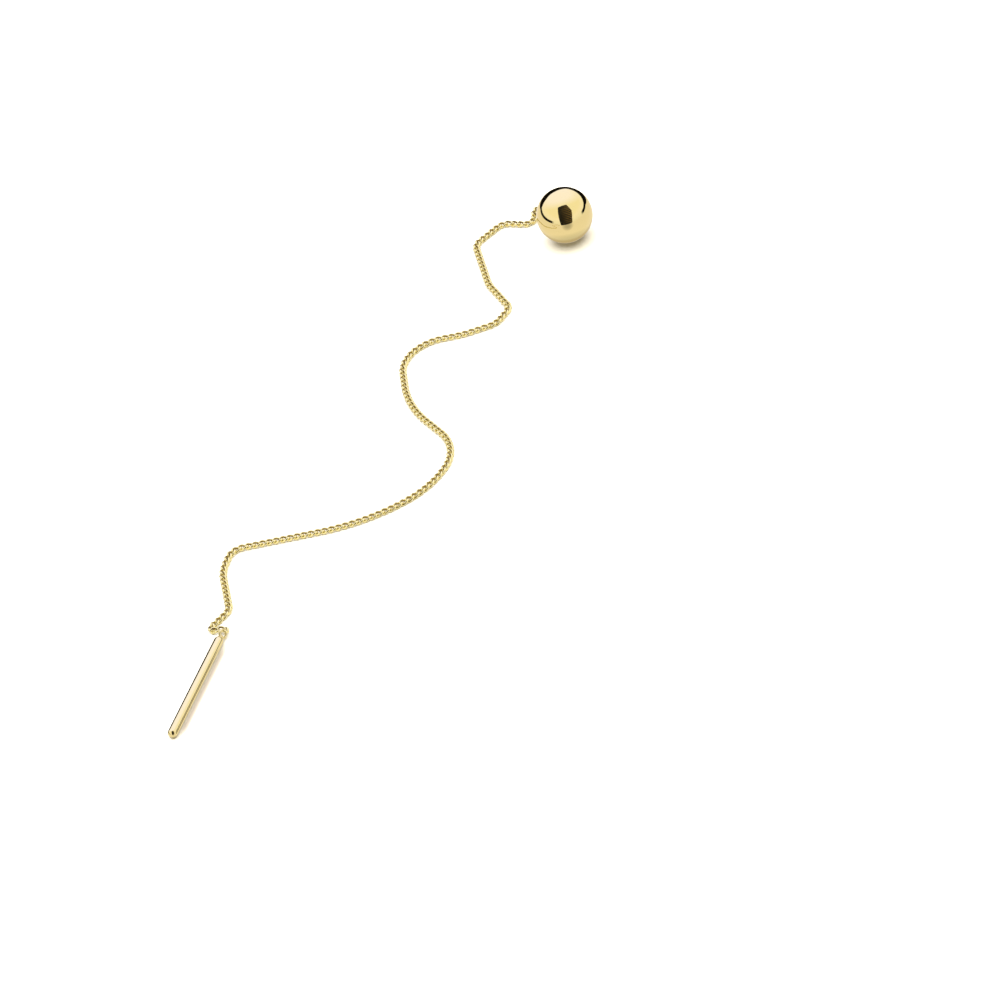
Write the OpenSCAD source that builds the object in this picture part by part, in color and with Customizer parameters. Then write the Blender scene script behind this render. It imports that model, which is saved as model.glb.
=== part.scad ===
/* [Ball] */
// Diameter of the polished ball that shows under the lobe
ball_d = 6; // [5.6:0.1:6.2]
// How far the ball's ring points down from level, in degrees, as the ball lies
ball_ring_dip = 40; // [34:1:44]
// Compass heading of the ball's ring, in degrees from +X
ball_ring_heading = 97; // [94:1:99]

/* [Rod] */
// Diameter of the rod that is threaded through the ear
rod_d = 1; // [0.8:0.05:1.1]
// Length of the rod from tip to tip, without its ring
rod_len = 14.5; // [13.5:0.5:15.5]

/* [End rings] */
// Radius of the middle line of each soldered ring
ring_r = 0.45; // [0.43:0.01:0.5]
// Thickness of the rings' wire
ring_wire = 0.2; // [0.17:0.01:0.22]
// Lean of each ring from upright, in degrees, which follows the twist of the link that it holds
ring_lean = 30; // [30:1:36]

/* [Chain] */
// Thickness of the links' wire
link_wire = 0.12; // [0.1:0.01:0.13]
// Width of a link over its two sides
link_w = 0.81; // [0.79:0.01:0.83]
// Length of a link from end to end
link_len = 1.25; // [1.21:0.01:1.27]
// Thickness of the chain as it lies flat
chain_t = 0.55; // [0.5:0.01:0.57]
// Wanted step from one link to the next
link_step = 0.71; // [0.69:0.01:0.73]

/* [Hidden] */

// Where the ball stands on the surface, from the middle of the whole
ball_x = 23.472;
ball_y = 30.012;

// The chain's way over the surface, from the ball's ring to the rod's.
// Each row: x and y of a corner, from the point under the ball, and the radius that rounds it.
WAY_X = 0;
WAY_Y = 1;
WAY_R = 2;
CORNERS = [
    [-0.8, 6, 1.1],
    [-2.8, 6.6, 1.1],
    [-3.2, 3.3, 1.1],
    [-6.5, 4.9, 1.5],
    [-9.9, 2.2, 1.7],
    [-9.5, -5.4, 5],
    [-7.9, -10.3, 1.6],
    [-9.7, -12.5, 2.2],
    [-13.4, -13, 8],
    [-20.1, -12.6, 4.8],
    [-20.5, -23, 14],
    [-16.1, -32, 6],
    [-20.4, -37.4, 11],
    [-27.2, -40.4, 20],
    [-40.8, -39.8, 1.8],
    [-42.2, -42.9, 6],
    [-42.1, -47.3, 1],
    [-44.5, -49.4, 1.1],
    [-44.3, -51, 1.15],
    [-42.5, -51.9, 1]
];

// Where the rod's upper end lies, and the heading from there to its free end
rod_top = [-43.65, -54];
rod_heading = 244.6;

// Round bodies are drawn with this many sides, and a link's loop and wire with these
round_fn = 64;
loop_sides = 10;
wire_sides = 5;
// How much a link's loop is squared towards its ends
link_squareness = 0.3;
// Length over which the chain climbs from the surface to a ring
climb_len = 2;
// Air between a ring and the inside end of the link that it holds
ring_air = 0.185;
// From the far side of a ring to the middle of that link
ring_to_link = link_len / 2 - link_wire - ring_air - ring_wire / 2;

ball_r = ball_d / 2;
rod_r = rod_d / 2;
rod_straight = rod_len - rod_d;

// A place at this distance from the ball's middle, out along its ring
function out_of_ball(d) = [
    d * cos(ball_ring_dip) * cos(ball_ring_heading),
    d * cos(ball_ring_dip) * sin(ball_ring_heading),
    ball_r - d * sin(ball_ring_dip)
];
// The first link hangs this steeply from the ball's ring
first_link_slope = 25;
// The places on the two rings that hold the chain's ends
ball_hook = out_of_ball(ball_r + ring_r) + ring_r * [
    cos(first_link_slope) * cos(ball_ring_heading),
    cos(first_link_slope) * sin(ball_ring_heading),
    -sin(first_link_slope)
];
rod_hook = [
    rod_top[0] - (rod_r + 2 * ring_r) * cos(rod_heading),
    rod_top[1] - (rod_r + 2 * ring_r) * sin(rod_heading),
    rod_r
];

// The way with both ends
WAY = concat([[ball_hook[0], ball_hook[1], 0]], CORNERS, [[rod_hook[0], rod_hook[1], 0]]);
way_n = len(WAY);

function flat(p) = [p[WAY_X], p[WAY_Y]];
function heading(a, b) = atan2(b[1] - a[1], b[0] - a[0]);
function wrap(t) = t > 180 ? t - 360 : t < -180 ? t + 360 : t;
// Heading of the straight before corner i, and the turn at that corner
function leg_heading(i) = heading(flat(WAY[i - 1]), flat(WAY[i]));
function turn(i) = wrap(leg_heading(i + 1) - leg_heading(i));
// How much of the legs the round at corner i takes, none at the two ends
function cut(i) = i == 0 || i == way_n - 1 ? 0 : WAY[i][WAY_R] * tan(abs(turn(i)) / 2);
function straight_len(i) = norm(flat(WAY[i]) - flat(WAY[i - 1])) - cut(i) - cut(i - 1);
function round_len(i) = i == way_n - 1 ? 0 : WAY[i][WAY_R] * abs(turn(i)) * PI / 180;

// Distance along the way at which the straight before each corner starts
STARTS = [for (i = 1, s = 0; i < way_n; s = s + straight_len(i) + round_len(i), i = i + 1) s];
way_len = STARTS[way_n - 2] + straight_len(way_n - 1);

// The leg that holds distance s
function leg(s, i = 1) = i < way_n - 1 && s > STARTS[i] ? leg(s, i + 1) : i;
function on_straight(i, s) =
    flat(WAY[i - 1]) + (cut(i - 1) + s) * [cos(leg_heading(i)), sin(leg_heading(i))];
function on_round(i, s) =
    let (side = sign(turn(i)), h = leg_heading(i), r = WAY[i][WAY_R], h2 = h + side * s / r * 180 / PI)
    on_straight(i, straight_len(i)) + side * r * [sin(h2) - sin(h), cos(h) - cos(h2)];
function way_at(s) =
    let (i = leg(s), over = s - STARTS[i - 1] - straight_len(i))
    over <= 0 || i == way_n - 1 ? on_straight(i, s - STARTS[i - 1]) : on_round(i, over);

// Height of the chain's middle line: on the surface, and up to a ring at each end
lie_z = chain_t / 2;
function climb(t) = pow(max(0, 1 - t / climb_len), 2);
function height_at(s) =
    lie_z + (ball_hook[2] - lie_z) * climb(s) + (rod_hook[2] - lie_z) * climb(way_len - s);
function place_at(s) = concat(way_at(s), [height_at(s)]);

// The links: how many, their true step, and the halves that the two chain nodes hold
link_count = round((way_len - 2 * ring_to_link) / link_step) + 1;
step = (way_len - 2 * ring_to_link) / (link_count - 1);
half_count = floor(link_count / 2);

// One link's middle line is a twisted, slightly squared oval
loop_a = (link_len - link_wire) / 2;
loop_b = (link_w - link_wire) / 2;
loop_c = (chain_t - link_wire) / 2;
function loop_at(t) = [
    loop_a * cos(t),
    loop_b * sin(t) * (1 + link_squareness * pow(cos(t), 2)),
    -loop_c * sin(2 * t)
];
function unit(v) = v / norm(v);

// Points of the wire around one joint of the loop, square to the loop there
function wire_ring(k) =
    let (
        t = (k + 0.5) * 360 / loop_sides,
        dt = 180 / loop_sides,
        along = unit(loop_at(t + dt) - loop_at(t - dt)),
        out = unit(cross(along, [0, 0, 1])),
        up = cross(out, along)
    )
    [for (j = [0 : wire_sides - 1])
        let (q = j * 360 / wire_sides) loop_at(t) + link_wire / 2 * (cos(q) * out + sin(q) * up)];

LINK_POINTS = [for (k = [0 : loop_sides - 1]) each wire_ring(k)];
// Corner j of ring k in the list of points, counted round
function point_no(k, j) = (k % loop_sides) * wire_sides + j % wire_sides;
LINK_FACES = [for (k = [0 : loop_sides - 1], j = [0 : wire_sides - 1]) each [
    [point_no(k, j), point_no(k, j + 1), point_no(k + 1, j)],
    [point_no(k, j + 1), point_no(k + 1, j + 1), point_no(k + 1, j)]
]];

module link() {
    polyhedron(points = LINK_POINTS, faces = LINK_FACES, convexity = 4);
}

// Link number i, set along the way with its flat side up
module placed_link(i) {
    s = ring_to_link + i * step;
    before = place_at(s - step / 2);
    after = place_at(s + step / 2);
    d = after - before;
    translate(place_at(s))
        rotate([0, -atan2(d[2], norm([d[0], d[1]])), atan2(d[1], d[0])])
            link();
}

module placed_links(first, last) {
    translate([ball_x, ball_y, 0])
        for (i = [first : last]) placed_link(i);
}

// A soldered ring about its own middle, in the XZ plane but for its lean about X
module end_ring(lean) {
    rotate([90 + lean, 0, 0])
        rotate_extrude($fn = round_fn)
            translate([ring_r, 0]) circle(d = ring_wire, $fn = 24);
}

module ball() {
    color("gold")
        translate([ball_x, ball_y, 0])
            union() {
                translate([0, 0, ball_r]) sphere(d = ball_d, $fn = round_fn);
                translate(out_of_ball(ball_r + ring_r))
                    rotate([0, ball_ring_dip, ball_ring_heading]) end_ring(ring_lean);
            }
}

module chain_upper() {
    color("goldenrod") placed_links(0, half_count - 1);
}

module chain_lower() {
    color("goldenrod") placed_links(half_count, link_count - 1);
}

// The rod along +X from its upper dome's middle, with its ring behind it
module rod_along_x() {
    rotate([0, 90, 0]) cylinder(d = rod_d, h = rod_straight, $fn = round_fn);
    sphere(d = rod_d, $fn = round_fn);
    translate([rod_straight, 0, 0]) sphere(d = rod_d, $fn = round_fn);
    translate([-rod_r - ring_r, 0, 0]) end_ring(-ring_lean);
}

module rod() {
    color("gold")
        translate([ball_x + rod_top[0], ball_y + rod_top[1], rod_r])
            rotate([0, 0, rod_heading]) union() rod_along_x();
}

ball();
chain_upper();
chain_lower();
rod();
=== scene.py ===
# %% [markdown]
# # A threader earring, lying on a white table
# The real thing has three parts: a polished gold ball with a tiny ring soldered to it, a fine curb
# chain, and a slim straight rod that is threaded through the ear. The solids were built elsewhere at
# their real size. This lesson loads them as a fixed frame and dresses them: every piece is put
# where its solid lies, and then gets its finish.

# %% The frame
import math

import bpy
from mathutils import Matrix, Vector


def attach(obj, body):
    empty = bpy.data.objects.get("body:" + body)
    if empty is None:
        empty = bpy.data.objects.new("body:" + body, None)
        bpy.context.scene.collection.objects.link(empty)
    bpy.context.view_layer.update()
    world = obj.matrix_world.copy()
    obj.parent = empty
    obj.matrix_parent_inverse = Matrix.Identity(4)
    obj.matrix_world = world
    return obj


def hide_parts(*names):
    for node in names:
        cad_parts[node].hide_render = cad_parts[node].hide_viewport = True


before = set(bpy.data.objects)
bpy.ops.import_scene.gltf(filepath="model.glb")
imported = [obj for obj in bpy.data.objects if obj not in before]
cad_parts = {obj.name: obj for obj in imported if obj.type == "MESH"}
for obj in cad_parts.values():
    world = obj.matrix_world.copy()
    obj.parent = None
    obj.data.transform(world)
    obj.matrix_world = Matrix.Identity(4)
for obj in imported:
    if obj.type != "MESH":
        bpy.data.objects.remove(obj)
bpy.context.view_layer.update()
print("the solids are", ", ".join(sorted(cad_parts)))

MM = 0.001  # the scene is in metres, and so small a thing is measured in millimetres


def vec(x, y, z):
    """A place given in millimetres."""
    return Vector((x, y, z)) * MM


# %% [markdown]
# ## The camera
# A picture like this is shot from well away with a long lens, so that near and far ends of the
# earring come out at almost the same scale. The camera looks down at 38 degrees and is turned a
# little about its own line of sight, which makes the whole earring run from corner to corner.

# %% Camera
CAMERA_AT = vec(10.03, -462.67, 352.56)
LOOK_DOWN = math.radians(38)
ROLL = math.radians(13)
LENS_MM = 205.2

lens = bpy.data.cameras.new("camera")
lens.lens = LENS_MM
lens.sensor_width = 36
lens.clip_start = 0.01
camera = bpy.data.objects.new("camera", lens)
bpy.context.scene.collection.objects.link(camera)
camera.matrix_world = (
    Matrix.Translation(CAMERA_AT)
    @ Matrix.Rotation(math.pi / 2 - LOOK_DOWN, 4, "X")
    @ Matrix.Rotation(-ROLL, 4, "Z")
)
bpy.context.scene.camera = camera
bpy.context.scene.view_settings.view_transform = "Standard"  # white paper stays white
print("camera", [round(c / MM) for c in CAMERA_AT], "mm, lens", LENS_MM)

# %% [markdown]
# ## Helpers for modelling
# Operators work on whatever is selected, so each step starts by deselecting everything. When a piece
# is done, its place is applied to its mesh, which leaves the object itself at the origin.

# %% Modelling helpers
def only(*objects):
    """Selects just these objects, and makes the last one active."""
    bpy.ops.object.select_all(action="DESELECT")
    for o in objects:
        o.select_set(True)
        bpy.context.view_layer.objects.active = o


def added(name):
    """Names the object that the last operator added."""
    o = bpy.context.active_object
    o.name = o.data.name = name
    return o


def applied(o):
    """Puts the object's place, turn and scale into its mesh."""
    only(o)
    bpy.ops.object.transform_apply(location=True, rotation=True, scale=True)
    return o


def joined(name, pieces):
    """Makes one object of several."""
    only(*pieces)
    bpy.ops.object.join()
    return added(name)


def smooth(o, degrees=60):
    only(o)
    bpy.ops.object.shade_smooth_by_angle(angle=math.radians(degrees))
    return o


# %% [markdown]
# ## The way the chain lies
# A limp chain dropped on a table lies in straight runs and soft bends. It could be a curve drawn by
# hand, but its bends would then be hard to set. So its way is a list of corners, each with the radius
# that rounds it, from the ball's ring to the rod's ring.

# %% The chain's way
BALL_FOOT = Vector((23.472, 30.012))  # where the ball stands, in mm
BALL_R = 3.0
ROD_R = 0.5
ROD_STRAIGHT = 13.5
ROD_TOP = Vector((-43.65, -54.0)) + BALL_FOOT
ROD_HEADING = math.radians(244.6)
RING_R = 0.45
RING_WIRE = 0.26
BALL_RING_DIP = math.radians(40)
BALL_RING_HEADING = math.radians(97)
ROD_RING_LIFT = math.radians(12)
ROD_RING_YAW = math.radians(-12)

# x, y and rounding radius of each corner in mm, from the ball's foot
CORNERS = [
    (-0.8, 6.0, 1.1),
    (-2.8, 6.5, 1.1),
    (-3.2, 3.3, 1.0),
    (-6.5, 4.95, 1.5),
    (-9.9, 2.2, 1.7),
    (-9.5, -5.4, 5),
    (-7.9, -10.25, 1.4),
    (-9.7, -12.45, 2.2),
    (-13.4, -13, 8),
    (-20.1, -12.6, 4.6),
    (-20.55, -23, 14),
    (-16.15, -32, 6),
    (-20.4, -37.4, 11),
    (-27.2, -40.4, 20),
    (-40.85, -39.8, 1.8),
    (-42.2, -42.9, 6),
    (-42.1, -49.3, 1.6),
    (-44.7, -51.8, 0.48),
    (-42.8, -52.1, 0.4),
]


def heading(angle, length=1.0):
    return Vector((math.cos(angle), math.sin(angle))) * length


ring_out = BALL_R + RING_R
ball_ring_at = Vector((
    *(BALL_FOOT + heading(BALL_RING_HEADING, ring_out * math.cos(BALL_RING_DIP))),
    BALL_R - ring_out * math.sin(BALL_RING_DIP),
))
rod_ring_out = -heading(ROD_HEADING + ROD_RING_YAW, (ROD_R + RING_R) * math.cos(ROD_RING_LIFT))
rod_ring_at = Vector((*(ROD_TOP + rod_ring_out), ROD_R + (ROD_R + RING_R) * math.sin(ROD_RING_LIFT)))
print("rings at", ball_ring_at, rod_ring_at)


def rounded_way(corners, start, end, gap=0.02):
    """The chain's way as points: round corners in small steps, with straight runs between."""
    rows = [(start, 0)] + [(Vector(c[:2]) + BALL_FOOT, c[2]) for c in corners] + [(end, 0)]
    runs = [(b[0] - a[0]).normalized() for a, b in zip(rows, rows[1:])]
    points = [start]
    for (corner, radius), before, after in zip(rows[1:-1], runs, runs[1:]):
        turn = before.angle_signed(after)  # clockwise is positive
        cut = radius * math.tan(abs(turn) / 2)
        first = corner - before * cut
        side = -math.copysign(1, turn)
        middle = first + Vector((-before.y, before.x)) * side * radius
        steps = max(2, round(radius * abs(turn) / gap))
        for k in range(steps + 1):
            spoke = first - middle
            spoke.rotate(Matrix.Rotation(side * abs(turn) * k / steps, 2))
            points.append(middle + spoke)
    points.append(end)
    return points


# %% [markdown]
# ## How high the chain lies
# The chain lies flat on the table, and only its last links climb to the two rings that hold it. The
# climb starts level and grows steeper towards the ring, as a light chain hangs from a hook.

# %% The chain's height
CHAIN_T = 0.54  # thickness of the chain as it lies flat
CLIMB = 1.6  # the length over which the chain climbs from the table to a ring
END_SLOPE = math.radians(25)  # how steeply the first link hangs from the ball's ring

ball_hook = ball_ring_at + Vector((
    *heading(BALL_RING_HEADING, RING_R * math.cos(END_SLOPE)),
    -RING_R * math.sin(END_SLOPE),
))
rod_hook = rod_ring_at + Vector((*(rod_ring_out.normalized() * RING_R), 0))
way = rounded_way(CORNERS, ball_hook.xy, rod_hook.xy)
reach = [0.0]
for a, b in zip(way, way[1:]):
    reach.append(reach[-1] + (b - a).length)
way_len = reach[-1]
print("the chain's way is %.1f mm long" % way_len)


def climb(distance):
    return max(0.0, 1 - distance / CLIMB) ** 2


def place_at(s):
    """The place on the way at distance s, with its height."""
    inside = min(max(s, 0), way_len)
    lo, hi = 0, len(reach) - 1
    while hi - lo > 1:
        mid = (lo + hi) // 2
        lo, hi = (mid, hi) if reach[mid] <= inside else (lo, mid)
    span = reach[hi] - reach[lo]
    p = way[lo].lerp(way[hi], (s - reach[lo]) / span if span else 0)
    lie = CHAIN_T / 2
    z = lie + (ball_hook.z - lie) * climb(s) + (rod_hook.z - lie) * climb(way_len - s)
    return Vector((p.x, p.y, z))


# %% [markdown]
# ## One link of the curb chain
# A curb link starts as an oval loop of round wire. The finished chain is then twisted and pressed,
# so each link stands a little on the skew and the chain lies flat. Here a circle curve is stretched
# to the oval, its quarter points are pushed up and down for the twist, and a round bevel gives the
# wire. The wire is thick for so small a link and fills its neighbours' holes. It leaves no air, so
# neighbours run into each other, by up to 0.1 mm in the tightest bend, which is too small to show.

# %% A link
LINK_LEN = 1.23
LINK_W = 0.81
LINK_WIRE = 0.26
STEP = 0.71
LOOP_SMOOTH = 80  # degrees up to which the faces of a link are shaded as one

loop_a = (LINK_LEN - LINK_WIRE) / 2
loop_b = (LINK_W - LINK_WIRE) / 2
twist = (CHAIN_T - LINK_WIRE) / 2


def make_link():
    bpy.ops.object.select_all(action="DESELECT")
    bpy.ops.curve.primitive_bezier_circle_add(radius=1)
    loop = added("link")
    bpy.ops.object.mode_set(mode="EDIT")
    bpy.ops.curve.select_all(action="SELECT")
    bpy.ops.curve.subdivide(number_cuts=1)
    bpy.ops.transform.resize(value=(loop_a * MM, loop_b * MM, 1))
    for turned_up in (True, False):
        bpy.ops.curve.select_all(action="DESELECT")
        for point in loop.data.splines[0].bezier_points:
            x, y = point.co.x / (loop_a * MM), point.co.y / (loop_b * MM)
            at_quarter = abs(x * y) > 0.3  # near 0.5 there, and 0 at the ends and sides
            if at_quarter and (x * y < 0) == turned_up:
                point.select_control_point = True
                point.select_left_handle = point.select_right_handle = True
        bpy.ops.transform.translate(value=(0, 0, twist * MM * (1 if turned_up else -1)))
    bpy.ops.curve.select_all(action="SELECT")
    bpy.ops.curve.handle_type_set(type="AUTOMATIC")
    bpy.ops.object.mode_set(mode="OBJECT")
    loop.data.resolution_u = 2
    loop.data.fill_mode = "FULL"
    loop.data.bevel_depth = LINK_WIRE / 2 * MM
    loop.data.bevel_resolution = 1
    only(loop)
    bpy.ops.object.convert(target="MESH")
    return smooth(added("link"), LOOP_SMOOTH)


def mark_recess(o):
    """Stores how far each point faces the hole of its link: 0 outside, 1 inside."""
    recess = o.data.attributes.new("recess", "FLOAT", "POINT")
    for vertex, mark in zip(o.data.vertices, recess.data):
        x, y = vertex.co.x / MM, vertex.co.y / MM
        across = math.hypot(x, y)
        to_wire = across / math.hypot(x / loop_a, y / loop_b)
        mark.value = min(max((to_wire - across) / (LINK_WIRE / 2), 0), 1)


link = make_link()
mark_recess(link)
print("a link has", len(link.data.polygons), "faces")
print("it measures", [round(d / MM, 2) for d in link.dimensions], "mm")

# %% [markdown]
# ## The whole chain
# The link is copied along the way at an equal step, each copy turned to follow it. The copies become
# two objects that meet halfway, as the solids do.

# %% Laying the links
RING_AIR = -0.03  # less than none: the last link runs a little into its ring
# from a hook to the nearest link's middle
end_gap = LINK_LEN / 2 - LINK_WIRE - RING_WIRE / 2 - RING_AIR
count = round((way_len - 2 * end_gap) / STEP) + 1
step = (way_len - 2 * end_gap) / (count - 1)


def lay_link(i):
    s = end_gap + i * step
    along = (place_at(s + step / 2) - place_at(s - step / 2)).normalized()
    across = Vector((0, 0, 1)).cross(along).normalized()
    up = along.cross(across)
    turn = Matrix((along, across, up)).transposed().to_4x4()
    copy = link.copy()
    copy.data = link.data.copy()
    bpy.context.scene.collection.objects.link(copy)
    copy.data.transform(Matrix.Translation(place_at(s) * MM) @ turn)
    return copy


half = count // 2
chain_upper = joined("chain_upper_links", [lay_link(i) for i in range(half)])
chain_lower = joined("chain_lower_links", [lay_link(i) for i in range(half, count)])
bpy.data.objects.remove(link)
print(count, "links,", len(chain_upper.data.polygons) + len(chain_lower.data.polygons), "faces")

# %% [markdown]
# ## The rings
# A small ring of wire is soldered to the ball and another to the rod, and each holds the chain's last
# link. Each ring is a torus. The solder could be left out at this size, but the ring would then only
# touch the ball in one point. So a small bead, half sunk in both, fills the crease between them.

# %% A soldered ring
SOLDER_R = 0.28
BALL_RING_LEAN = math.radians(-30)
ROD_RING_LEAN = math.radians(-14)


def make_ring(name, at, out, lean):
    """A ring at a place, whose plane holds the direction out and leans about it."""
    across = Vector((0, 0, 1)).cross(out).normalized()
    frame_turn = Matrix((out, across, out.cross(across))).transposed().to_4x4()
    turn = frame_turn @ Matrix.Rotation(math.pi / 2 + lean, 4, "X")
    bpy.ops.object.select_all(action="DESELECT")
    bpy.ops.mesh.primitive_torus_add(
        major_radius=RING_R * MM, minor_radius=RING_WIRE / 2 * MM,
        major_segments=64, minor_segments=20, location=at * MM, rotation=turn.to_euler(),
    )
    ring = added(name)
    foot = at - out * RING_R
    bpy.ops.mesh.primitive_uv_sphere_add(
        radius=SOLDER_R * MM, segments=24, ring_count=16,
        location=foot * MM, rotation=turn.to_euler(),
    )
    return joined(name, [applied(added("solder")), applied(ring)])


# %% [markdown]
# ## The ball
# A polished bead shows every flaw of its mesh in its reflections, so it isn't made from a globe with
# poles. A cube is divided evenly and cast to a sphere, which leaves even four-sided faces all round.

# %% Ball
BALL_LEVELS = 6
bpy.ops.object.select_all(action="DESELECT")
bpy.ops.mesh.primitive_cube_add(size=2 * BALL_R * MM)
bead = added("bead")
divide = bead.modifiers.new("divide", "SUBSURF")
divide.subdivision_type = "SIMPLE"
divide.levels = divide.render_levels = BALL_LEVELS
cast = bead.modifiers.new("round", "CAST")
cast.factor = 1
cast.radius = 0  # no limit to how far the cast reaches
cast.size = BALL_R * MM
cast.use_radius_as_size = False
for modifier in ("divide", "round"):
    bpy.ops.object.modifier_apply(modifier=modifier)
bead.location = vec(*BALL_FOOT, BALL_R)
applied(bead)
smooth(bead)
print("bead", [round(d / MM, 3) for d in bead.dimensions], "faces", len(bead.data.polygons))

ball_out = (ball_ring_at - Vector((*BALL_FOOT, BALL_R))).normalized()
ball_ring = smooth(make_ring("ball_ring", ball_ring_at, ball_out, BALL_RING_LEAN))
ball = joined("ball_polished", [ball_ring, bead])

# %% [markdown]
# ## The rod
# The rod is drawn wire with both ends rounded over. A sphere is cut in the middle by moving one half
# along: its long middle faces become the rod, and its two halves stay as the rounded ends.

# %% Rod
bpy.ops.object.select_all(action="DESELECT")
bpy.ops.mesh.primitive_uv_sphere_add(segments=64, ring_count=33, radius=ROD_R * MM)
rod_body = added("rod_body")
bpy.ops.object.mode_set(mode="EDIT")
bpy.ops.mesh.select_mode(type="VERT")
bpy.ops.mesh.select_all(action="DESELECT")
bpy.ops.object.mode_set(mode="OBJECT")
for vertex in rod_body.data.vertices:
    vertex.select = vertex.co.z > 0
bpy.ops.object.mode_set(mode="EDIT")
bpy.ops.transform.translate(value=(0, 0, ROD_STRAIGHT * MM))
bpy.ops.object.mode_set(mode="OBJECT")
rod_body.rotation_euler = (0, math.pi / 2, ROD_HEADING)
rod_body.location = vec(*ROD_TOP, ROD_R)
applied(rod_body)
smooth(rod_body)

rod_out = (rod_ring_at - Vector((*ROD_TOP, ROD_R))).normalized()
rod_ring = smooth(make_ring("rod_ring", rod_ring_at, rod_out, ROD_RING_LEAN))
rod = joined("rod_polished", [rod_ring, rod_body])
print("rod", [round(d / MM, 2) for d in rod.dimensions])

# %% [markdown]
# ## Materials
# Yellow gold is a metal, so all of its colour is in its reflections: red and green come back almost
# whole, and blue only in part. One metallic shader gives that, and what the gold shows is left to the
# tent around it. Hex colours are turned to linear light first.

# %% Material helpers
def linear(hex_colour):
    """An sRGB hex colour as linear RGBA."""
    parts = [int(hex_colour[i:i + 2], 16) / 255 for i in (1, 3, 5)]
    return [c / 12.92 if c <= 0.04045 else ((c + 0.055) / 1.055) ** 2.4 for c in parts] + [1]


def add_node(tree, kind, links=(), **settings):
    """Adds a node. settings are its properties, or its sockets where the name starts with in_."""
    node = tree.nodes.new(kind)
    for key, value in settings.items():
        if key.startswith("in_"):
            socket = key[3:].replace("_", " ")
            node.inputs[int(socket) if socket.isdigit() else socket].default_value = value
        else:
            setattr(node, key, value)
    for output, socket in links:
        tree.links.new(output, node.inputs[socket])
    return node


def new_material(name):
    material = bpy.data.materials.new(name)
    material.use_nodes = True
    material.node_tree.nodes.clear()
    return material, material.node_tree


def principled(material):
    """The material's main node."""
    return next(node for node in material.node_tree.nodes if node.type == "BSDF_PRINCIPLED")


def toned(material, factor, low, high):
    """Colours a material from one hex colour to another as the factor goes from 0 to 1."""
    tree = material.node_tree
    tone = add_node(
        tree, "ShaderNodeMix", [(factor, "Factor")],
        data_type="RGBA", in_6=linear(low), in_7=linear(high),
    )
    tree.links.new(tone.outputs[2], principled(material).inputs["Base Color"])


def dress(piece, material):
    piece.data.materials.clear()
    piece.data.materials.append(material)


# %% Polished gold
HAIR_HEIGHT = 0.0002  # mm, of what the felt wheel leaves


def polished_gold(name, colour, roughness, hair_mm):
    """Buffed yellow gold. The felt wheel leaves hairlines far finer than the eye resolves."""
    material, tree = new_material(name)
    place = add_node(tree, "ShaderNodeTexCoord")
    hair = add_node(
        tree, "ShaderNodeTexNoise", [(place.outputs["Object"], "Vector")],
        in_Scale=1 / (hair_mm * MM), in_Detail=2.0,
    )
    bump = add_node(
        tree, "ShaderNodeBump", [(hair.outputs["Fac"], "Height")],
        in_Strength=1.0, in_Distance=HAIR_HEIGHT * MM,
    )
    metal = add_node(
        tree, "ShaderNodeBsdfPrincipled", [(bump.outputs["Normal"], "Normal")],
        in_Base_Color=linear(colour), in_Metallic=1.0, in_Roughness=roughness,
    )
    add_node(tree, "ShaderNodeOutputMaterial", [(metal.outputs["BSDF"], "Surface")])
    return material


LINK_COLOUR = "#FBEDA6"
bead_gold = polished_gold("polished_yellow_gold", "#E7D597", roughness=0.05, hair_mm=0.6)
rod_gold = polished_gold("drawn_yellow_gold", "#E7D79C", roughness=0.04, hair_mm=0.5)
link_gold = polished_gold("chain_yellow_gold", LINK_COLOUR, roughness=0.06, hair_mm=0.1)
print("golds:", bead_gold.name, rod_gold.name, link_gold.name)

# %% [markdown]
# ## The links' painted recess shade
# Inside its links a chain lies in shade, and light alone would show that only in a close view. So the
# shade is painted: the links carry a mark at each point for how far it faces the hole, and the colour
# follows that mark, darker towards the hole. The links then read as separate even when they are a
# few pixels long.

# %% The links' painted recess shade
# painted shade: the gold's colour where it faces a link's hole
RECESS_SHADE_COLOUR = "#7E621A"
RECESS_FROM = 0.15  # a smaller mark leaves the gold bright

tree = link_gold.node_tree
recess = add_node(tree, "ShaderNodeAttribute", attribute_name="recess")
# how far into the painted shade each point lies
painted_recess_shade = add_node(
    tree, "ShaderNodeMapRange", [(recess.outputs["Fac"], "Value")], in_From_Min=RECESS_FROM,
)
toned(link_gold, painted_recess_shade.outputs["Result"], LINK_COLOUR, RECESS_SHADE_COLOUR)
dress(ball, bead_gold)
dress(rod, rod_gold)
dress(chain_upper, link_gold)
dress(chain_lower, link_gold)
print("recesses go from", LINK_COLOUR, "to", RECESS_SHADE_COLOUR)

# %% [markdown]
# ## The table
# The earring lies on a sheet of pale grey plastic. It is lit so brightly from above that it comes out
# white, and only the soft shadow close to the ball and the rod stays. The gold doesn't show the
# sheet: it shows the painted tent, where each tone can be set by itself.

# %% Table
TABLE_R = 0.9  # metres
SHEET_COLOUR = "#B9B4A4"
MATTE = 0.9  # roughness of everything around the object


def plain(name, hex_colour):
    """One even colour, for the things around the object."""
    material, tree = new_material(name)
    matte = add_node(
        tree, "ShaderNodeBsdfPrincipled", in_Base_Color=linear(hex_colour), in_Roughness=MATTE,
    )
    add_node(tree, "ShaderNodeOutputMaterial", [(matte.outputs["BSDF"], "Surface")])
    return material


bpy.ops.object.select_all(action="DESELECT")
bpy.ops.mesh.primitive_circle_add(vertices=96, radius=TABLE_R, fill_type="NGON", location=(0, 0, 0))
table = applied(added("table"))
table_sheet = plain("pale_plastic_sheet", SHEET_COLOUR)
dress(table, table_sheet)
table.visible_glossy = False
print("table", 2 * TABLE_R, "m across")

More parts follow.
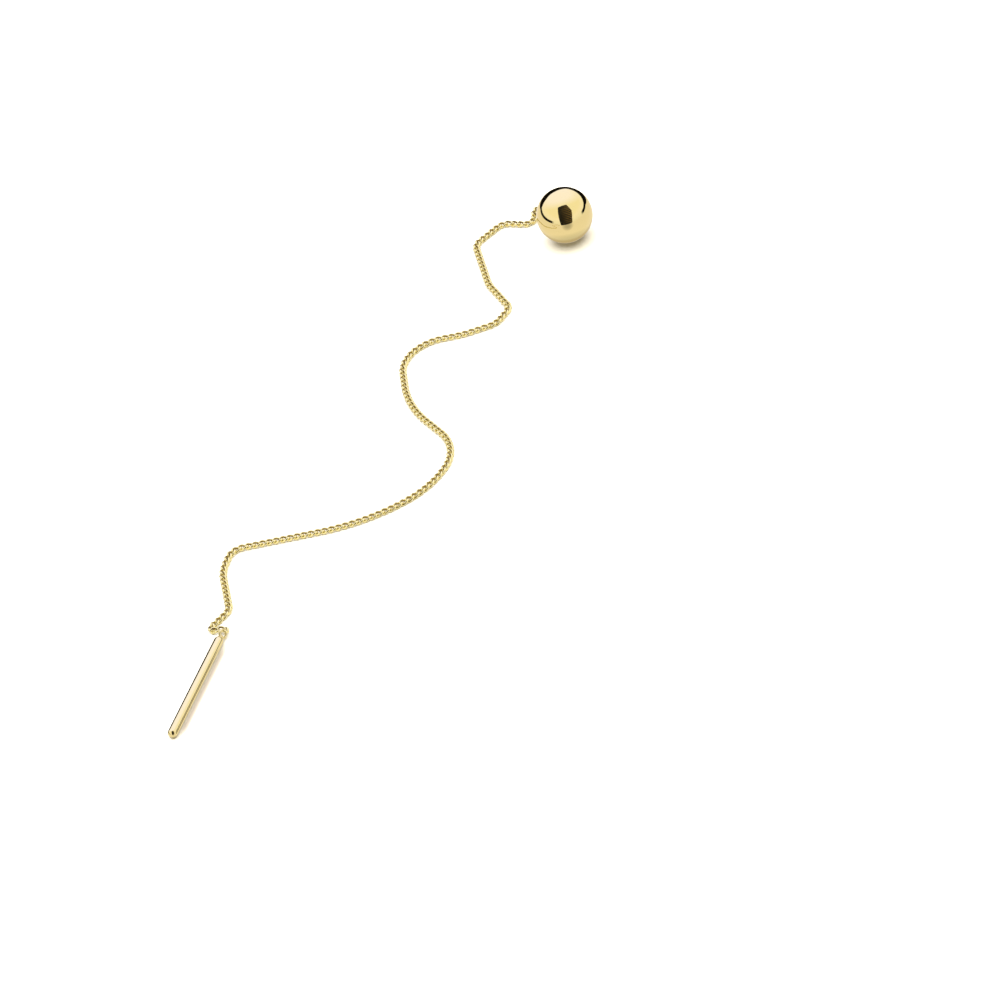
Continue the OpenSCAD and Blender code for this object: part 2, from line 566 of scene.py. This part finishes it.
# %% [markdown]
# ## The softbox
# A wide round softbox hangs above, a little to the back. A lamp of that width gives a shadow that is
# dark where the ball touches the sheet and gone a few millimetres away. It lights the sheet alone:
# the gold doesn't show it.

# %% The softbox
SOFTBOX_UP = 600  # mm above the table, and as wide as that to each side
SOFTBOX_BACK = 105  # mm behind the ball
SOFTBOX_WATTS = 24

box_light = bpy.data.lights.new("softbox", "AREA")
box_light.shape = "DISK"
box_light.size = 2 * SOFTBOX_UP * MM
box_light.energy = SOFTBOX_WATTS
softbox = bpy.data.objects.new("softbox", box_light)
bpy.context.scene.collection.objects.link(softbox)
softbox.location = vec(BALL_FOOT.x, BALL_FOOT.y + SOFTBOX_BACK, SOFTBOX_UP)
softbox.visible_glossy = softbox.visible_camera = False
print("softbox", SOFTBOX_UP, "mm up,", SOFTBOX_WATTS, "W")

# %% [markdown]
# ## The opening round the lens
# A tent has an opening for the lens, and a polished ball shows it as a dark patch in its middle. Here
# it is a dark card with the patch's shape, between the ball and the lens. Only the gold sees it.

# %% The opening round the lens
OPENING_FAR = 0.55  # metres from the ball
OPENING_COLOUR = "#0A0806"
# its corners, to the right and up, in parts of that distance
OPENING = [
    (-0.44, 0.75), (0.34, 0.87), (0.64, 0.25), (0.56, -0.35),
    (0.57, -0.72), (0.5, -0.85), (-0.5, -0.88), (-0.46, 0),
]


def card(name, places, material):
    """A flat card on the stage that shows only in the gold."""
    mesh = bpy.data.meshes.new(name)
    mesh.from_pydata(places, [], [range(len(places))])
    o = bpy.data.objects.new(name, mesh)
    bpy.context.scene.collection.objects.link(o)
    dress(o, material)
    o.visible_camera = o.visible_diffuse = o.visible_shadow = False


ball_middle = vec(*BALL_FOOT, BALL_R)
to_lens = (CAMERA_AT - ball_middle).normalized()
right = Vector((0, 0, 1)).cross(to_lens).normalized()
upward = to_lens.cross(right)
dark_opening = plain("dark_opening", OPENING_COLOUR)
card(
    "opening",
    [ball_middle + (to_lens + right * x + upward * y) * OPENING_FAR for x, y in OPENING],
    dark_opening,
)
print("opening", OPENING_FAR, "m from the ball, with", len(OPENING), "corners")

# %% [markdown]
# ## Faint streaks across the opening
# The room behind the lens isn't quite black, and it shows in the opening as faint warm streaks. They
# slant down to the right and grow clearer that way. A sine wave across the card paints them, which is
# plainer than a card for each.

# %% The streaks
STREAK_GAP = 0.16  # in parts of the opening's distance, as its corners
STREAK_ACROSS = (0.55, 0.84)  # the direction from streak to streak, to the right and up
STREAK_CREST = (-0.2, 0.9)  # a streak starts to show at the first height of the wave
STREAK_COLOUR = "#6A5836"
CLEAR_FROM, CLEAR_TO = -0.25, 0.6  # to the right, in the same parts

slant = (right * STREAK_ACROSS[0] + upward * STREAK_ACROSS[1]) / (STREAK_GAP * OPENING_FAR)
tree = dark_opening.node_tree
spot_at = add_node(tree, "ShaderNodeTexCoord").outputs["Object"]
phase = add_node(
    tree, "ShaderNodeVectorMath", [(spot_at, 0)], operation="DOT_PRODUCT", in_1=slant * math.tau,
)
wave = add_node(tree, "ShaderNodeMath", [(phase.outputs["Value"], 0)], operation="SINE")
streak = add_node(
    tree, "ShaderNodeMapRange", [(wave.outputs["Value"], "Value")],
    in_From_Min=STREAK_CREST[0], in_From_Max=STREAK_CREST[1],
)
to_right = add_node(
    tree, "ShaderNodeVectorMath", [(spot_at, 0)], operation="DOT_PRODUCT", in_1=right / OPENING_FAR,
)
ball_right = ball_middle.dot(right) / OPENING_FAR
clearer = add_node(
    tree, "ShaderNodeMapRange", [(to_right.outputs["Value"], "Value")],
    in_From_Min=ball_right + CLEAR_FROM, in_From_Max=ball_right + CLEAR_TO,
)
share = add_node(
    tree, "ShaderNodeMath", [(streak.outputs["Result"], 0), (clearer.outputs["Result"], 1)],
    operation="MULTIPLY",
)
toned(dark_opening, share.outputs["Value"], OPENING_COLOUR, STREAK_COLOUR)
print("streaks", round(STREAK_GAP * OPENING_FAR / MM), "mm apart")

# %% [markdown]
# ## The cards beside the rod
# A black card is often laid beside bright metal, and its reflection draws a dark line along the edge.
# Here one lies on the rod's left. On its right a brown one is painted shade: it stands for the rod's
# own shade on the table, which the gold can't show because the table is kept out of its reflections.

# %% The cards beside the rod
CARD_LIFT = 0.02  # mm above the table
# name, how far from the rod's middle line it starts and ends in mm, and its colour
# the brown card is painted shade, seen only in the gold's reflection
CARDS = [("rod_shade_card", 1.4, 4.2, "#4A4128"), ("black_card", -1.5, -9, "#14110C")]

rod_way = vec(*heading(ROD_HEADING), 0)
beside = Vector((0, 0, 1)).cross(rod_way)
card_start = vec(*ROD_TOP, CARD_LIFT)
for name, near, far, colour in CARDS:
    rectangle = ((0, near), (ROD_STRAIGHT, near), (ROD_STRAIGHT, far), (0, far))
    places = [card_start + rod_way * run + beside * away for run, away in rectangle]
    card(name, places, plain(name, colour))
    print(name, "from", near, "to", far, "mm beside the rod")

# %% [markdown]
# ## The shade beside the rod
# The lamps of such a picture stand to the left, so a soft warm shade lies along the rod's right
# side. The even light of this scene leaves it out, and it is laid on the sheet as a faint tone.

# %% The shade beside the rod
SHADE_COLOUR = "#887F71"
# the direction, and where along it the tone rises and falls, in mm from the rod's top
SHADE_EDGES = [
    (beside, (0.25, 0.6), (1.3, 0.75)),
    (rod_way, (-0.8, 1.6), (ROD_STRAIGHT + 0.8, ROD_STRAIGHT - 1.6)),
]

tree = table_sheet.node_tree
spot_at = add_node(tree, "ShaderNodeTexCoord").outputs["Object"]
shade = None
for direction, *edges in SHADE_EDGES:
    far_along = add_node(
        tree, "ShaderNodeVectorMath", [(spot_at, 0)],
        operation="DOT_PRODUCT", in_1=direction / MM ** 2,
    )
    rod_at = ROD_TOP.dot(direction.to_2d()) / MM
    for low, high in edges:
        edge = add_node(
            tree, "ShaderNodeMapRange", [(far_along.outputs["Value"], "Value")],
            interpolation_type="SMOOTHSTEP", in_From_Min=rod_at + low, in_From_Max=rod_at + high,
        ).outputs["Result"]
        if shade:
            both = add_node(tree, "ShaderNodeMath", [(shade, 0), (edge, 1)], operation="MULTIPLY")
            edge = both.outputs["Value"]
        shade = edge
toned(table_sheet, shade, SHEET_COLOUR, SHADE_COLOUR)
print("shade laid along", ROD_STRAIGHT, "mm")

# %% [markdown]
# ## The tent
# Jewellery is shot in a white tent, and the metal shows the tent all round. It could be built of
# panels, but only their direction matters to so small a thing. So it is painted on the world by
# direction: cool white overhead, warm white below, and three soft patches of their own tone.

# %% Tent
BRIGHTNESS = 2.0
BAND_COLOUR = "#0A0806"
# height, as the sine of the angle above the horizon, and the tone there
TENT = [
    # darker straight down: painted shade of the table under the earring, as the gold sees it
    (-1.0, "#A8A6A2"),
    (-0.75, "#C1BCB8"),
    (-0.1, "#BEB9B6"),
    (0.1, "#C4C4C4"),
    (0.3, "#CAC7CA"),
    (0.5, "#C8C5BC"),
]


def sine(degrees):
    return math.sin(math.radians(degrees))


def cosine(degrees):
    return math.cos(math.radians(degrees))


world = bpy.data.worlds.new("tent")
bpy.context.scene.world = world
world.use_nodes = True
sky = world.node_tree
sky.nodes.clear()
look = add_node(sky, "ShaderNodeTexCoord")
split = add_node(sky, "ShaderNodeSeparateXYZ", [(look.outputs["Generated"], "Vector")])
height = split.outputs["Z"]
ramp_at = add_node(sky, "ShaderNodeMapRange", [(height, "Value")], in_From_Min=-1.0, in_From_Max=1.0)
ramp = add_node(sky, "ShaderNodeValToRGB", [(ramp_at.outputs["Result"], "Fac")])
stops = ramp.color_ramp.elements
stops.remove(stops[1])
for k, (sine_up, colour) in enumerate(TENT):
    stop = stops[0] if k == 0 else stops.new((sine_up + 1) / 2)
    stop.position = (sine_up + 1) / 2
    stop.color = linear(colour)


def painted(under, factor, hex_colour):
    """Lays a colour over what is painted so far."""
    mix = add_node(sky, "ShaderNodeMix", data_type="RGBA")
    sky.links.new(factor, mix.inputs["Factor"])
    sky.links.new(under, mix.inputs[6])
    mix.inputs[7].default_value = linear(hex_colour)
    return mix.outputs[2]


def spot(azimuth, elevation, full, none, strength):
    """The strength within so many degrees of a direction, falling off to 0."""
    out = (cosine(elevation) * cosine(azimuth), cosine(elevation) * sine(azimuth), sine(elevation))
    near = add_node(
        sky, "ShaderNodeVectorMath", [(look.outputs["Generated"], 0)],
        operation="DOT_PRODUCT", in_1=out,
    )
    return add_node(
        sky, "ShaderNodeMapRange", [(near.outputs["Value"], "Value")],
        in_From_Min=cosine(none), in_From_Max=cosine(full), in_To_Max=strength,
    ).outputs["Result"]


# azimuth from +X, elevation, full within, gone after, all in degrees, then strength and colour
PATCHES = [
    (95, 50, 30, 60, 1.0, "#CFD0F3"),  # cool light high at the back
    # painted shade: the table's shadow under the ball, as the gold sees it
    (90, -62, 12, 34, 1.0, "#968C78"),  # dim under the back
    (271, -12, 6, 23, 0.45, BAND_COLOUR),  # dim under the lens
]
tent = ramp.outputs["Color"]
for *shape, colour in PATCHES:
    tent = painted(tent, spot(*shape), colour)
print("tent painted in", len(TENT), "tones and", len(PATCHES), "patches")

# %% [markdown]
# ## The black band
# Black cloth low round the back and the sides of a tent gives polished gold its thin dark rim. Right
# at the back the band reaches further down and, to the left of that, further up. It is painted on the
# world too, between a foot and a top that are worked out for each direction.

# %% The black band
BAND_FOOT, BAND_FOOT_BEHIND = -1, -27  # degrees above the horizon
BAND_TOP, BAND_TOP_BEHIND = 8, 19.5
LOWEST_AT, LEVEL_AFTER = 80, 58  # azimuth of the lowest foot, and how far from it the foot is level
HIGHEST_AT = 110
TOP_EDGES = (0.85, 0.975)  # nearness to that azimuth where the top starts and ends its rise
BAND_MIDDLE, BAND_FULL, BAND_GONE = 100, 110, 121  # azimuth, full within and gone after

level = add_node(
    sky, "ShaderNodeVectorMath", [(look.outputs["Generated"], 0)],
    operation="MULTIPLY", in_1=(1, 1, 0),
)
flat_look = add_node(
    sky, "ShaderNodeVectorMath", [(level.outputs["Vector"], 0)], operation="NORMALIZE",
)


def nearness(azimuth):
    """Cosine of how far a look is turned from this azimuth."""
    return add_node(
        sky, "ShaderNodeVectorMath", [(flat_look.outputs["Vector"], 0)],
        operation="DOT_PRODUCT", in_1=(cosine(azimuth), sine(azimuth), 0),
    ).outputs["Value"]


turned = add_node(sky, "ShaderNodeMath", [(nearness(LOWEST_AT), 0)], operation="ARCCOSINE")
foot = add_node(
    sky, "ShaderNodeMapRange", [(turned.outputs["Value"], "Value")],
    in_From_Max=math.radians(LEVEL_AFTER),
    in_To_Min=sine(BAND_FOOT_BEHIND), in_To_Max=sine(BAND_FOOT),
)
top = add_node(
    sky, "ShaderNodeMapRange", [(nearness(HIGHEST_AT), "Value")],
    in_From_Min=TOP_EDGES[0], in_From_Max=TOP_EDGES[1],
    in_To_Min=sine(BAND_TOP), in_To_Max=sine(BAND_TOP_BEHIND),
)
above_foot = add_node(
    sky, "ShaderNodeMath", [(height, 0), (foot.outputs["Result"], 1)], operation="GREATER_THAN",
)
below_top = add_node(
    sky, "ShaderNodeMath", [(height, 0), (top.outputs["Result"], 1)], operation="LESS_THAN",
)
not_in_front = add_node(
    sky, "ShaderNodeMapRange", [(nearness(BAND_MIDDLE), "Value")],
    in_From_Min=cosine(BAND_GONE), in_From_Max=cosine(BAND_FULL),
)
in_band = above_foot.outputs["Value"]
for also in (below_top.outputs["Value"], not_in_front.outputs["Result"]):
    both = add_node(sky, "ShaderNodeMath", [(in_band, 0), (also, 1)], operation="MULTIPLY")
    in_band = both.outputs["Value"]
tent = painted(tent, in_band, BAND_COLOUR)
print("black band from", BAND_FOOT, "to", BAND_TOP, "degrees above the horizon")

# %% [markdown]
# ## What the lens sees beyond the table
# The lens itself sees plain white past the table's edge, and not the painted tent.

# %% The white beyond
ray = add_node(sky, "ShaderNodeLightPath")
seen = painted(tent, ray.outputs["Is Camera Ray"], "#FFFFFF")
light = add_node(sky, "ShaderNodeBackground", [(seen, "Color")], in_Strength=BRIGHTNESS)
add_node(sky, "ShaderNodeOutputWorld", [(light.outputs["Background"], "Surface")])
print("tent at", BRIGHTNESS, "times paper white")

# %% [markdown]
# ## The pieces in the solids' places
# Each piece stands for the solid whose place it took, and all of them move as one body. The solids
# themselves are hidden.

# %% The pieces in the solids' places
for piece, node, slot in (
    (ball, "ball", "polished_gold"),
    (chain_upper, "chain_upper", "chain_gold"),
    (chain_lower, "chain_lower", "chain_gold"),
    (rod, "rod", "polished_gold"),
):
    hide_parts(node)
    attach(piece, "root")
